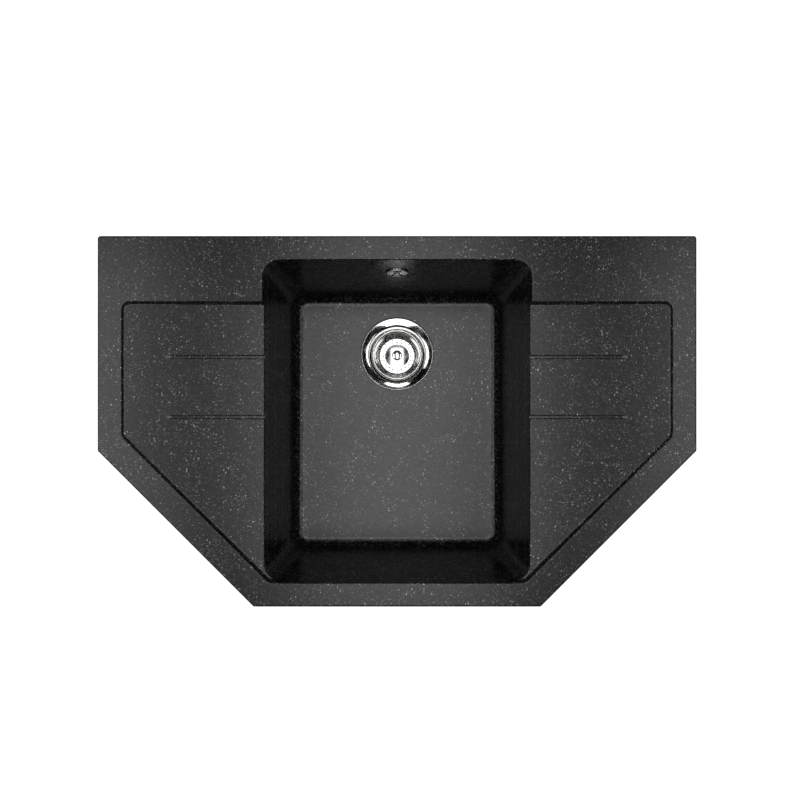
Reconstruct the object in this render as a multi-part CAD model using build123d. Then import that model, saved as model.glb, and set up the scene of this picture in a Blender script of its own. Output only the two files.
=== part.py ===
from build123d import *

from math import cos, pi, radians, sin, sqrt, tan
import os

# Corner kitchen sink, moulded in one piece of black composite stone, with its basket waste, overflow and clips.
# Millimetres. +X runs to the right along the back edge, +Y to the back edge, +Z up. The origin is the middle of
# the outline, on the worktop's surface, where the sealing strip under the rim rests. The bowl hangs below it.

# ---- outline and rim -------------------------------------------------------------------------------------
overall_width = 780.0
overall_depth = 483.0
front_cut = 203.0  # leg of the 45 degree cut at each front corner
rim_thickness = 8.0
rim_edge_radius = 2.5
outline_back_radius = 4.0
outline_front_radius = 3.0

# ---- sealing strip ---------------------------------------------------------------------------------------
seal_height = 2.0
seal_width = 8.0
seal_inset = 3.0

# ---- bowl ------------------------------------------------------------------------------------------------
bowl_width = 350.0
bowl_margin = 31.5  # from the outline's front and back edges
bowl_depth = 190.0  # from the top of the rim to the floor at the waste
bowl_draft = 4.5  # degrees that every wall leans
bowl_corner_radius = 23.0
bowl_floor_radius = 14.0
bowl_wall = 8.0
floor_thickness = 10.0
floor_fall = 1.0  # degrees that the floor falls to the waste
underside_radius = 18.0
lip_radius = 2.0  # along the bowl's and the drainers' top edges

# ---- drainers, one each side of the bowl -----------------------------------------------------------------
drainer_side_margin = 32.0
drainer_back_margin = 86.5
drainer_cut_margin = 36.4
drainer_front_inset = 0.6  # behind the bowl's front edge
drainer_depth = 4.0  # at the outer edge
drainer_fall = 1.7  # degrees down to the bowl
drainer_corner_radius = 10.0
drainer_foot_radius = 2.5
drainer_wall = 8.0
drainer_block_depth = 40.0  # before the floor cuts it
groove_places = (70.7, 149.5)  # from the drainer's back edge to each of its two grooves
groove_length = 120.0
groove_depth = 1.9  # at the bowl
groove_tip_depth = 1.0
groove_width = 5.9
groove_tip_width = 4.8
groove_side = 1.3  # each slanting side, seen from above
groove_run_out = 8.0  # past the tip, up to the drainer's floor
groove_margin = 0.6  # by which each groove's cutter stands over the floor

# ---- tap-hole blanks under the two back ledges -----------------------------------------------------------
tap_blank_radius = 17.5
tap_blank_skin = 3.0
tap_blank_side = 57.0  # from the bowl's side
tap_blank_back = 44.0  # from the back edge

# ---- waste: seals, steel cup, housing and screw ----------------------------------------------------------
waste_back = 103.5  # from the bowl's back edge
waste_hole_radius = 46.5
flange_radius = 56.5
flange_recess_gap = 2.0
flange_recess_depth = 3.0
flange_step = 0.3  # from the floor down to the flange's edge
flange_fall = 12.0  # degrees that the flange slopes down to the throat
flange_seal_inner_radius = 48.5
flange_seal_inset = 1.0  # inside the flange's edge
cup_sheet = 1.0
cup_throat_radius = 46.0
cup_radius = 41.0
cup_slope_depth = 8.5
cup_depth = 42.0
cup_bend_radius = 3.0
cup_port_radius = 5.5
cup_port_ring = 14.5
cup_port_count = 6
under_seal_height = 2.0
housing_flange_radius = 56.0
housing_flange_height = 5.0
housing_radius = 48.5
housing_wall = 3.0
housing_depth = 46.0  # from the underside of the floor to the housing's own floor
housing_funnel_depth = 12.0
spigot_radius = 23.9
spigot_bore_radius = 20.0
spigot_length = 24.0
boss_radius = 7.0
boss_length = 22.0
spoke_count = 3
spoke_start = 30.0  # degrees
spoke_width = 3.0
spoke_depth = 9.0
waste_screw_radius = 3.0
waste_screw_head_radius = 5.5
waste_screw_head_height = 2.4
waste_screw_length = 20.0
waste_screw_gap = 0.1

# ---- waste basket ----------------------------------------------------------------------------------------
basket_sheet = 0.8
basket_rim_depth = 9.0  # below the floor
basket_roll_radius = 1.3
basket_rim_gap = 0.5  # beside the cup's wall
basket_floor_radius = 29.0
basket_floor_lift = 7.6  # over the cup's floor
basket_bend_radius = 1.6
basket_dome_radius = 20.0
basket_dome_rise = 1.6
wall_hole_count = 20
wall_hole_start = 9.0  # degrees
wall_hole_radius = 1.9
floor_hole_rings = (22.6, 26.6)
floor_hole_counts = (20, 24)
floor_hole_radius = 1.1
knob_radius = 8.2
knob_neck_radius = 4.2
knob_foot_radius = 5.2
knob_height = 17.0
knob_cap_height = 5.0
knob_crown_radius = 24.0
knob_edge_radius = 1.2
post_radius = 2.5
post_running_gap = 0.05
stopper_radius = 26.0
stopper_edge = 1.0
stopper_thickness = 4.0
stopper_hub_radius = 7.5
stopper_hub_foot = 2.0
stopper_head_room = 1.0  # around the screw's head
seat_gap = 0.3  # between a loose piece and what it rests on

# ---- overflow --------------------------------------------------------------------------------------------
overflow_drop = 52.0  # below the top of the rim, to the hole in the back wall
overflow_hole_radius = 14.0
cover_radius = 16.0
cover_height = 2.4
cover_plate = 1.2
cover_spigot_gap = 0.4
cover_spigot_length = 6.0
cover_spigot_wall = 1.5
cover_bar_width = 7.0
cover_slot_inset = 2.4
cover_screw_radius = 2.5
cover_screw_head_radius = 4.4
cover_screw_head_height = 1.6
cover_screw_length = 22.0
elbow_seal_height = 2.0
elbow_flange_radius = 20.0
elbow_flange_height = 3.0
elbow_radius = 16.5
elbow_depth = 22.0
elbow_wall = 2.0
elbow_post_radius = 4.5
elbow_pipe_length = 14.0  # below the chamber
hose_spigot_radius = 10.0
hose_spigot_bore = 7.2

# ---- ribbed overflow hose and its union nuts -------------------------------------------------------------
hose_bore_radius = 7.2
hose_groove_radius = 8.4
hose_crest_radius = 10.0
hose_neck_radius = 8.8
hose_neck_length = 20.0
hose_flange_height = 2.0
hose_rib_pitch = 4.0
hose_rib_profile = ((0.0, 0.0), (0.3, 1.0), (0.6, 1.0), (0.9, 0.0))  # along the pitch, and groove to crest
hose_bend_radius = 36.0
nut_outer_radius = 13.0
nut_length = 15.0
nut_lip = 2.5
nut_grip_count = 12
nut_grip_radius = 1.2
nut_gap = 0.1
inlet_drop = 22.0  # below the floor's underside, to the middle of the housing's side inlet
inlet_length = 14.0

# ---- fixing clips ----------------------------------------------------------------------------------------
clip_inset = 33.0  # from the outline to the screw
back_clip_side = 98.0  # from the side edge
side_clip_back = 201.5  # from the back edge
cut_clip_places = (-62.0, 44.0)  # along each front cut, from its middle
clip_boss_radius = 9.0
clip_boss_height = 20.0
clip_hole_radius = 5.0
clip_hole_depth = 18.5
socket_flange_radius = 7.0
socket_flange_height = 1.5
clip_screw_radius = 2.5
clip_screw_running_gap = 0.08
clip_screw_length = 44.0
clip_screw_head_radius = 5.0
clip_screw_head_height = 3.0
clip_screw_grip = 6.0  # engaged at rest
claw_sheet = 2.0
claw_width = 16.0
claw_reach = 42.0
claw_heel = 10.0
claw_rise = 16.0
claw_lean = 4.0
claw_bend_radius = 3.0
claw_hole_gap = 0.08

# ---- heights and places that follow ----------------------------------------------------------------------
half_width = overall_width / 2
half_depth = overall_depth / 2
rim_underside = seal_height
rim_top = rim_underside + rim_thickness
floor_z = rim_top - bowl_depth
floor_underside = floor_z - floor_thickness
draft_slope = tan(radians(bowl_draft))
bowl_length = overall_depth - 2 * bowl_margin
waste_y = bowl_length / 2 - waste_back
drainer_back = half_depth - drainer_back_margin
cut_reach = half_width + half_depth - front_cut  # |x| + |y| along the front cuts


STANDING = (Align.CENTER, Align.CENTER, Align.MIN)
HANGING = (Align.CENTER, Align.CENTER, Align.MAX)


def upright(shape):
    """The edges of a block that run from its top to its bottom."""
    return shape.edges().filter_by(lambda edge: edge.bounding_box().size.Z > 1.0)


def at_waste(shape):
    """Moves a shape made around the Z axis to the waste."""
    return Pos(0, waste_y, 0) * shape


def turned(*outline):
    """A ring or disc about the Z axis from its half section, given as (radius, height) corners."""
    section = make_face(Polyline(*[(r, 0, z) for r, z in outline], close=True))
    return revolve(section, Axis.Z)


def pressed(points, bend, sheet):
    """A round pressing about the Z axis from the middle line of its sheet, as (radius, height) points."""
    line = FilletPolyline(*points, radius=bend)
    return revolve(Plane.XZ * trace(line, sheet), Axis.Z)


def ring_of(shape, count, ring_radius, start=0.0):
    """Copies of a shape around the Z axis."""
    spots = [start + 360.0 * k / count for k in range(count)]
    return [Rot(0, 0, spot) * Pos(ring_radius, 0, 0) * shape for spot in spots]


# ---- sink ------------------------------------------------------------------------------------------------
def sink_outline():
    corners = [
        (-half_width, half_depth),
        (half_width, half_depth),
        (half_width, half_width - cut_reach),
        (cut_reach - half_depth, -half_depth),
        (half_depth - cut_reach, -half_depth),
        (-half_width, half_width - cut_reach),
    ]
    outline = make_face(Polyline(*corners, close=True))
    outline = fillet(outline.vertices().sort_by(Axis.Y)[-2:], outline_back_radius)
    return fillet(outline.vertices().sort_by(Axis.Y)[:4], outline_front_radius)


def leaning_block(half_x, half_y, top, bottom, corner_radius):
    """A rounded rectangular block that narrows downwards at the walls' draft."""
    mouth = Pos(0, 0, top) * Rectangle(2 * half_x, 2 * half_y)
    return fillet(upright(extrude(mouth, amount=bottom - top, taper=bowl_draft)), corner_radius)


def bowl_cavity():
    """The bowl's inside: leaning walls and a floor that falls to the waste as a very flat cone."""
    foot = floor_z - floor_thickness
    block = leaning_block(bowl_width / 2, bowl_length / 2, rim_top, foot, bowl_corner_radius)
    reach = bowl_width + bowl_length
    rise = reach * tan(radians(floor_fall))
    above = turned((0, floor_z), (reach, floor_z + rise), (reach, rim_top + rise), (0, rim_top + rise))
    cavity = block & at_waste(above)
    foot = cavity.edges().filter_by(lambda edge: edge.bounding_box().max.Z < floor_z + bowl_floor_radius)
    return fillet(foot, bowl_floor_radius)


def drainer_block(grow, drop):
    """The right drainer's hollow, or with grow and drop its outer shell."""
    side = half_width - drainer_side_margin
    front = -bowl_length / 2 + drainer_front_inset
    reach = cut_reach - sqrt(2) * drainer_cut_margin
    stretch = grow * tan(radians(45 / 2))
    corners = [
        (side + grow, drainer_back + grow),
        (side + grow, side - reach - stretch),
        (reach + front + stretch, front - grow),
        (0, front - grow),
        (0, drainer_back + grow),
    ]
    mouth = Pos(0, 0, rim_top) * make_face(Polyline(*corners, close=True))
    block = extrude(mouth, amount=-drainer_block_depth, taper=bowl_draft)
    block = fillet(upright(block).sort_by(Axis.X)[-3:], drainer_corner_radius + grow)
    slope = tan(radians(drainer_fall))
    outer_floor = rim_top - drainer_depth - drop
    above = [
        (0, 0, outer_floor - slope * side),
        (half_width, 0, outer_floor + slope * (half_width - side)),
        (half_width, 0, rim_top),
        (0, 0, rim_top),
    ]
    block = block & extrude(make_face(Polyline(*above, close=True)), amount=half_depth, both=True)
    foot = block.edges().filter_by(
        lambda edge: edge.bounding_box().max.Z < rim_top - drainer_depth / 4
        and edge.bounding_box().max.X > bowl_width / 2
    )
    return fillet(foot, drainer_foot_radius + grow / 2)


def drainer_floor_at(x):
    return rim_top - drainer_depth - (half_width - drainer_side_margin - x) * tan(radians(drainer_fall))


def groove_section(x, depth, width, floor_width):
    """The section of a groove with slanting sides, carried on a little way above the drainer's floor."""
    floor = drainer_floor_at(x)
    lean = (width - floor_width) / 2 / depth if depth > 0 else 0
    half_top = width / 2 + lean * groove_margin
    return make_face(Polyline(
        (x, -floor_width / 2, floor - depth),
        (x, floor_width / 2, floor - depth),
        (x, half_top, floor + groove_margin),
        (x, -half_top, floor + groove_margin),
        close=True,
    ))


def drainer_groove(y):
    """A groove with slanting sides that runs out to nothing and is deepest where it spills into the bowl."""
    inner = bowl_width / 2 - bowl_wall
    tip = bowl_width / 2 + groove_length
    sections = [
        groove_section(inner, groove_depth, groove_width, groove_width - 2 * groove_side),
        groove_section(tip, groove_tip_depth, groove_tip_width, groove_tip_width - 2 * groove_side),
        groove_section(tip + groove_run_out, -groove_margin / 2, groove_tip_width, groove_tip_width),
    ]
    return Pos(0, y, 0) * loft(sections, ruled=True)


def clip_spots():
    """Places of the clips' screws, each with the direction in degrees, along the rim, of its parked claw."""
    spots = [
        (half_width - back_clip_side, half_depth - clip_inset, 180.0),
        (half_width - clip_inset, half_depth - side_clip_back, 90.0),
    ]
    middle = (cut_reach - sqrt(2) * clip_inset) / 2
    centre_x = middle + (half_width - half_depth) / 2
    centre_y = middle - (half_width - half_depth) / 2
    for place in cut_clip_places:
        spots.append((centre_x - place / sqrt(2), -centre_y - place / sqrt(2), 45.0))
    return spots + [(-x, y, 180.0 - parked) for x, y, parked in spots]


def lip_edges(body):
    """The top edges of the bowl and the drainers' hollows; the spill edges run on from the ends picked here."""
    margin = lip_radius + rim_edge_radius
    at_top = body.edges().filter_by(
        lambda edge: edge.bounding_box().min.Z > rim_top - lip_radius / 4
        and abs(edge.center().X) < half_width - margin
        and abs(edge.center().Y) < half_depth - margin
        and abs(edge.center().X) + abs(edge.center().Y) < cut_reach - margin
    )
    spill_ends = body.edges().filter_by(
        lambda edge: edge.bounding_box().min.Z > drainer_floor_at(bowl_width / 2) - lip_radius
        and edge.bounding_box().size.Z > lip_radius
        and edge.bounding_box().size.X < lip_radius
        and abs(abs(edge.center().X) - bowl_width / 2) < lip_radius
        and abs(edge.center().Y - drainer_back) < 2 * drainer_foot_radius
    )
    return at_top + spill_ends


def under_rim(radius, low, high, spots):
    """Upright cylinders at the given places, measured down and up from the rim's underside."""
    return [Pos(x, y, rim_underside - low) * Cylinder(radius, low + high, align=STANDING) for x, y in spots]


def overflow_plane(distance=0.0):
    """The plane across the overflow's axis, this far from the back wall's inner face into the bowl."""
    lean = radians(bowl_draft)
    y = bowl_length / 2 - overflow_drop * draft_slope - distance * cos(lean)
    z = rim_top - overflow_drop + distance * sin(lean)
    return Plane(origin=(0, y, z), x_dir=(1, 0, 0), z_dir=(0, -cos(lean), sin(lean)))


def sink_body():
    """The one-piece moulding: rim, bowl, drainers, bosses for the clips and blanks for tap holes."""
    plate = extrude(Pos(0, 0, rim_underside) * sink_outline(), amount=rim_thickness)
    plate = fillet(plate.edges().group_by(Axis.Z)[-1], rim_edge_radius)
    wall = bowl_wall / cos(radians(bowl_draft))
    shell = leaning_block(
        bowl_width / 2 + wall, bowl_length / 2 + wall, rim_top, floor_underside, bowl_corner_radius + bowl_wall
    )
    shell = fillet(shell.edges().group_by(Axis.Z)[0], underside_radius)
    pan = drainer_block(drainer_wall, drainer_wall)
    keep = Pos(0, 0, rim_underside + rim_thickness / 2) * Box(
        overall_width, overall_depth, 2 * bowl_depth, align=HANGING
    )
    body = plate + (shell & keep) + (pan & keep) + mirror(pan & keep, Plane.YZ)
    clips = [(x, y) for x, y, _ in clip_spots()]
    body += under_rim(clip_boss_radius, clip_boss_height, rim_thickness / 2, clips)
    hollow = drainer_block(0, 0)
    body -= bowl_cavity()
    body -= hollow
    body -= mirror(hollow, Plane.YZ)
    body = body.solids()[0].fillet(lip_radius, lip_edges(body))
    grooves = [drainer_groove(drainer_back - place) for place in groove_places]
    body -= grooves
    body -= [mirror(groove, Plane.YZ) for groove in grooves]
    body -= at_waste(Pos(0, 0, floor_z) * Cylinder(waste_hole_radius, floor_thickness * 4))
    recess = Cylinder(flange_radius + flange_recess_gap, floor_thickness * 2, align=STANDING)
    body -= at_waste(Pos(0, 0, floor_z - flange_recess_depth) * recess)
    body -= overflow_plane() * Cylinder(overflow_hole_radius, bowl_wall * 4)
    hole = Cylinder(clip_hole_radius, clip_hole_depth, align=STANDING)
    body -= [Pos(x, y, rim_underside - clip_boss_height) * hole for x, y in clips]
    blank_x = bowl_width / 2 + tap_blank_side
    blanks = [(-blank_x, half_depth - tap_blank_back), (blank_x, half_depth - tap_blank_back)]
    body -= under_rim(tap_blank_radius, rim_thickness, rim_thickness - tap_blank_skin, blanks)
    return body


def rim_seal():
    """The foam strip that beds the rim on the worktop."""
    outer = offset(sink_outline(), amount=-seal_inset)
    inner = offset(sink_outline(), amount=-seal_inset - seal_width)
    return extrude(outer - inner, amount=seal_height)


# ---- waste -----------------------------------------------------------------------------------------------
recess_z = floor_z - flange_recess_depth
floor_at_flange = floor_z + (flange_radius + flange_recess_gap) * tan(radians(floor_fall))
cup_floor_z = floor_z - cup_depth
cup_floor_top = cup_floor_z + cup_sheet / 2
cup_inner_radius = cup_radius - cup_sheet


def flange_middle(radius):
    """Height of the middle of the flange's sheet, which slopes down from its edge to the throat."""
    return floor_at_flange - flange_step - cup_sheet / 2 - (flange_radius - radius) * tan(radians(flange_fall))


def waste_cup():
    """The steel cup: a sloping flange in the floor's recess, a steeper throat and a flat floor with ports."""
    middle_radius = cup_radius - cup_sheet / 2
    cup = pressed([
        (flange_radius, flange_middle(flange_radius)),
        (cup_throat_radius, flange_middle(cup_throat_radius)),
        (middle_radius, floor_z - cup_slope_depth),
        (middle_radius, cup_floor_z),
        (waste_screw_radius + waste_screw_gap, cup_floor_z),
    ], cup_bend_radius, cup_sheet)
    port = Pos(0, 0, cup_floor_z) * Cylinder(cup_port_radius, cup_sheet * 4)
    cup -= ring_of(port, cup_port_count, cup_port_ring)
    return at_waste(cup)


def flange_seal():
    """The wedge-shaped ring between the recess and the sloping flange."""
    outer = flange_radius - flange_seal_inset
    half_sheet = cup_sheet / 2 / cos(radians(flange_fall))
    return at_waste(turned(
        (flange_seal_inner_radius, recess_z),
        (outer, recess_z),
        (outer, flange_middle(outer) - half_sheet),
        (flange_seal_inner_radius, flange_middle(flange_seal_inner_radius) - half_sheet),
    ))


def under_seal():
    inner = waste_hole_radius + under_seal_height / 2
    outer = housing_flange_radius - under_seal_height / 2
    low = floor_underside - under_seal_height
    return at_waste(turned((inner, low), (outer, low), (outer, floor_underside), (inner, floor_underside)))


housing_top = floor_underside - under_seal_height
housing_floor = floor_underside - housing_depth
funnel_end = housing_floor - housing_funnel_depth
spigot_end = funnel_end - spigot_length
boss_top = cup_floor_z - cup_sheet / 2
inlet_z = floor_underside - inlet_drop
inlet_end = waste_y + housing_radius + inlet_length


def waste_housing():
    """The plastic housing that is drawn up under the floor, with the overflow's inlet and the outlet spigot."""
    inner = housing_radius - housing_wall
    slope = housing_funnel_depth / (housing_radius - spigot_radius)
    lift = housing_wall * sqrt(1 + slope ** 2)
    housing = turned(
        (inner, housing_top),
        (housing_flange_radius, housing_top),
        (housing_flange_radius, housing_top - housing_flange_height),
        (housing_radius, housing_top - housing_flange_height),
        (housing_radius, housing_floor),
        (spigot_radius, funnel_end),
        (spigot_radius, spigot_end),
        (spigot_bore_radius, spigot_end),
        (spigot_bore_radius, housing_floor - slope * (housing_radius - spigot_bore_radius) + lift),
        (inner, housing_floor - slope * housing_wall + lift),
    )
    housing += Pos(0, 0, boss_top) * Cylinder(boss_radius, boss_length, align=HANGING)
    reach = inner + housing_wall / 2 - boss_radius / 2
    spoke = Pos(0, 0, boss_top) * Box(reach, spoke_width, spoke_depth, align=(Align.MIN, Align.CENTER, Align.MAX))
    housing += ring_of(spoke, spoke_count, boss_radius / 2, spoke_start)
    across = Pos(0, housing_radius - housing_wall / 2, inlet_z) * Rot(-90, 0, 0)
    pipe_length = inlet_length + housing_wall / 2
    housing += across * Cylinder(hose_spigot_radius, pipe_length, align=STANDING)
    inlet_bore = across * Cylinder(hose_spigot_bore, 4 * pipe_length)
    housing -= inlet_bore - Pos(0, 0, inlet_z) * Cylinder(inner - housing_wall, 4 * hose_spigot_radius)
    bore = waste_screw_radius + waste_screw_gap
    housing -= Pos(0, 0, boss_top) * Cylinder(bore, waste_screw_length, align=HANGING)
    return at_waste(housing)


def waste_screw():
    """The screw that clamps the cup and the housing on the floor, with a straight slot."""
    screw = Cylinder(waste_screw_head_radius, waste_screw_head_height, align=STANDING)
    screw += Cylinder(waste_screw_radius, waste_screw_length, align=HANGING)
    slot_size = waste_screw_head_height / 2
    slot = Box(3 * waste_screw_head_radius, slot_size, slot_size, align=HANGING)
    screw -= Pos(0, 0, waste_screw_head_height) * slot
    return at_waste(Pos(0, 0, cup_floor_top) * screw)


# ---- basket ----------------------------------------------------------------------------------------------
basket_floor_z = cup_floor_top + basket_floor_lift
basket_rim_z = floor_z - basket_rim_depth
basket_rim_radius = cup_inner_radius - basket_rim_gap - basket_roll_radius
dome_z = basket_floor_z + basket_dome_rise
dome_curve = (basket_dome_radius ** 2 + basket_dome_rise ** 2) / (2 * basket_dome_rise)
knob_foot = dome_z + basket_sheet / 2
stopper_foot = cup_floor_top + seat_gap
stopper_top = stopper_foot + stopper_thickness
post_foot = stopper_top + stopper_thickness / 4
post_top = knob_foot + knob_height - knob_cap_height


def dome_ball(side):
    """The ball whose cap is the dome's upper face, with side 1, or its lower face, with side -1."""
    return Pos(0, 0, dome_z - dome_curve) * Sphere(dome_curve + side * basket_sheet / 2)


def dome_underside(radius):
    return dome_z - dome_curve + sqrt((dome_curve - basket_sheet / 2) ** 2 - radius ** 2)


def strainer_basket():
    """The strainer: a rolled rim, a leaning wall with holes, a pierced floor and a shallow middle dome."""
    wall_top_radius = basket_rim_radius - basket_roll_radius + basket_sheet / 2
    basket = pressed([
        (wall_top_radius, basket_rim_z),
        (basket_floor_radius, basket_floor_z),
        (basket_dome_radius, basket_floor_z),
    ], basket_bend_radius, basket_sheet)
    cap_room = Pos(0, 0, basket_floor_z - basket_sheet / 2) * Cylinder(
        basket_dome_radius + basket_sheet, basket_rim_z - basket_floor_z, align=STANDING)
    basket += (dome_ball(1) - dome_ball(-1)) & cap_room
    basket -= Pos(0, 0, dome_z) * Cylinder(post_radius + seat_gap, basket_sheet * 4)
    basket += Pos(0, 0, basket_rim_z) * Torus(basket_rim_radius, basket_roll_radius)
    row_z = basket_floor_z + (basket_rim_z - basket_floor_z) / 4
    row_hole = Pos(0, 0, row_z) * Rot(0, 90, 0) * Cylinder(wall_hole_radius, basket_rim_radius, align=STANDING)
    basket -= ring_of(row_hole, wall_hole_count, basket_dome_radius, wall_hole_start)
    for ring_radius, count in zip(floor_hole_rings, floor_hole_counts):
        hole = Pos(0, 0, basket_floor_z) * Cylinder(floor_hole_radius, basket_sheet * 2)
        basket -= ring_of(hole, count, ring_radius)
    return at_waste(basket)


def basket_knob():
    """The turned knob on the dome, with a crowned top, bored for the post."""
    top = knob_foot + knob_height
    cap_low = top - knob_cap_height
    knob = turned(
        (0, dome_z),
        (knob_foot_radius, dome_z),
        (knob_neck_radius, knob_foot + knob_neck_radius / 2),
        (knob_neck_radius, cap_low - knob_neck_radius / 2),
        (knob_radius, cap_low),
        (knob_radius, top),
        (0, top),
    )
    knob = knob & Pos(0, 0, top - knob_crown_radius) * Sphere(knob_crown_radius)
    level = knob.edges().filter_by(lambda edge: edge.bounding_box().size.Z < knob_edge_radius / 4)
    knob = fillet(level.group_by(Axis.Z)[-1], knob_edge_radius)
    bore = Cylinder(post_radius + post_running_gap, post_top + seat_gap - dome_z, align=STANDING)
    return at_waste(knob - dome_ball(1) - Pos(0, 0, dome_z) * bore)


def basket_post():
    return at_waste(Pos(0, 0, post_foot) * Cylinder(post_radius, post_top - post_foot, align=STANDING))


def basket_stopper():
    """The rubber stopper that closes the cup's ports, hollow under its hub to clear the screw's head."""
    hub_top = dome_underside(stopper_hub_radius) - seat_gap
    stopper = turned(
        (0, stopper_foot),
        (stopper_radius, stopper_foot),
        (stopper_radius - stopper_edge, stopper_top),
        (stopper_hub_radius + stopper_hub_foot, stopper_top),
        (stopper_hub_radius, stopper_top + stopper_hub_foot),
        (stopper_hub_radius, hub_top),
        (0, hub_top),
    )
    room = waste_screw_head_height + stopper_head_room - seat_gap
    head_radius = waste_screw_head_radius + stopper_head_room
    stopper -= Pos(0, 0, stopper_foot) * Cylinder(head_radius, room, align=STANDING)
    stopper -= Pos(0, 0, post_foot) * Cylinder(post_radius, basket_dome_radius, align=STANDING)
    return at_waste(stopper)


# ---- overflow --------------------------------------------------------------------------------------------
seal_back = -bowl_wall - elbow_seal_height
chamber_end = seal_back - elbow_depth
pipe_place = overflow_plane(seal_back - elbow_depth / 2).origin
pipe_end_z = pipe_place.Z - elbow_radius - elbow_pipe_length


def overflow_cover():
    """The round cover: a rim, a bar across the middle for the screw, and an opening above and below the bar."""
    spigot = overflow_hole_radius - cover_spigot_gap
    cover = turned(
        (0, cover_height - cover_plate),
        (spigot - cover_spigot_wall, cover_height - cover_plate),
        (spigot - cover_spigot_wall, -cover_spigot_length),
        (spigot, -cover_spigot_length),
        (spigot, 0),
        (cover_radius, 0),
        (cover_radius, cover_height / 2),
        (cover_radius - cover_height / 2, cover_height),
        (0, cover_height),
    )
    opening = Cylinder(cover_radius - cover_slot_inset - cover_spigot_wall, 4 * cover_height)
    bar = Box(2 * cover_radius, cover_bar_width, 6 * cover_height)
    cover -= opening - bar
    cover -= Cylinder(cover_screw_radius + waste_screw_gap, 4 * cover_height)
    return overflow_plane() * cover


def overflow_screw():
    screw = Cylinder(cover_screw_head_radius, cover_screw_head_height, align=STANDING)
    screw = fillet(screw.edges().group_by(Axis.Z)[-1], cover_screw_head_height / 2)
    screw += Cylinder(cover_screw_radius, cover_screw_length, align=HANGING)
    slot_size = cover_screw_head_height / 2
    slot = Box(3 * cover_screw_head_radius, slot_size, slot_size, align=HANGING)
    screw -= Pos(0, 0, cover_screw_head_height) * slot
    return overflow_plane(cover_height) * screw


def overflow_seal():
    inner = overflow_hole_radius + elbow_seal_height / 2
    outer = elbow_flange_radius - elbow_seal_height / 2
    ring = Cylinder(outer, elbow_seal_height, align=STANDING) - Cylinder(inner, 4 * elbow_seal_height)
    return overflow_plane(seal_back) * ring


def overflow_elbow():
    """The chamber behind the back wall, with a post for the cover's screw and a pipe down to the hose."""
    place = overflow_plane(seal_back)
    inner = elbow_radius - elbow_wall
    chamber = Cylinder(elbow_radius, elbow_depth, align=HANGING)
    chamber += Cylinder(elbow_flange_radius, elbow_flange_height, align=HANGING)
    chamber -= Cylinder(inner, elbow_depth - elbow_wall, align=HANGING)
    post_height = elbow_depth - elbow_wall
    post = Cylinder(elbow_post_radius, post_height, align=STANDING)
    post -= Cylinder(cover_screw_radius + waste_screw_gap, 2 * (post_height - elbow_wall))
    post = Pos(0, 0, elbow_wall - elbow_depth) * Rot(180, 0, 0) * Pos(0, 0, -post_height) * post
    x, y, z = pipe_place
    drop = z - pipe_end_z
    pipe = Pos(x, y, z) * Cylinder(hose_spigot_radius, drop, align=HANGING)
    pipe -= place * Cylinder(inner, elbow_depth, align=HANGING)
    bore = Pos(x, y, z - elbow_post_radius) * Cylinder(hose_spigot_bore, drop, align=HANGING)
    return place * chamber + pipe + place * post - bore


def hose_path():
    """Straight down behind the back wall, round one bend and straight in to the housing's inlet."""
    y = pipe_place.Y
    corner = (0, y, inlet_z)
    line = FilletPolyline((0, y, pipe_end_z), corner, (0, inlet_end, inlet_z), radius=hose_bend_radius)
    return Wire(line.edges())


def hose_section(path, place, radius):
    spot = path.position_at(place, position_mode=PositionMode.LENGTH)
    along = path.tangent_at(place, position_mode=PositionMode.LENGTH)
    return Plane(origin=spot, x_dir=(1, 0, 0), z_dir=along) * Circle(radius)


def overflow_hose():
    """The ribbed hose: flanged straight ends and ribs between them, four circles to a rib, about one bore."""
    path = hose_path()
    count = int((path.length - 2 * hose_neck_length) // hose_rib_pitch)
    pitch = (path.length - 2 * hose_neck_length) / count
    stations = []
    for rib in range(count):
        for along, up in hose_rib_profile:
            place = hose_neck_length + (rib + along) * pitch
            stations.append((place, hose_groove_radius + up * (hose_crest_radius - hose_groove_radius)))
    ribs = loft([hose_section(path, place, radius) for place, radius in stations], ruled=True)
    first, last = stations[0][0], stations[-1][0]
    hose = ribs
    for place, other in ((0, first), (last, path.length)):
        spot = path.position_at(place, position_mode=PositionMode.LENGTH)
        along = path.tangent_at(place, position_mode=PositionMode.LENGTH)
        hose += Plane(origin=spot, x_dir=(1, 0, 0), z_dir=along) * Cylinder(
            hose_neck_radius, other - place, align=STANDING)
    for place, align in ((0, STANDING), (path.length, HANGING)):
        spot = path.position_at(place, position_mode=PositionMode.LENGTH)
        along = path.tangent_at(place, position_mode=PositionMode.LENGTH)
        hose += Plane(origin=spot, x_dir=(1, 0, 0), z_dir=along) * Cylinder(
            hose_spigot_radius, hose_flange_height, align=align)
    bore = sweep(hose_section(path, 0, hose_bore_radius), path=path)
    print("hose: length", round(path.length, 1), "ribs", count, "bore volume over section times length",
          round(bore.volume / (pi * hose_bore_radius ** 2 * path.length), 5))
    return hose - bore


def union_nut():
    """A union nut on the Z axis whose lip, at its foot, traps the hose's flange; its top runs up the spigot."""
    bore = hose_spigot_radius + nut_gap
    lip_bore = hose_neck_radius + nut_gap
    nut = turned(
        (lip_bore, 0),
        (nut_outer_radius, 0),
        (nut_outer_radius, nut_length),
        (bore, nut_length),
        (bore, nut_lip),
        (lip_bore, nut_lip),
    )
    grip = Cylinder(nut_grip_radius, nut_length, align=STANDING)
    return nut + ring_of(grip, nut_grip_count, nut_outer_radius)


def hose_nuts():
    lip = hose_flange_height + nut_gap + nut_lip
    upper = Pos(0, pipe_place.Y, pipe_end_z - lip) * union_nut()
    lower = Pos(0, inlet_end + lip, inlet_z) * Rot(90, 0, 0) * union_nut()
    return upper, lower


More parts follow.
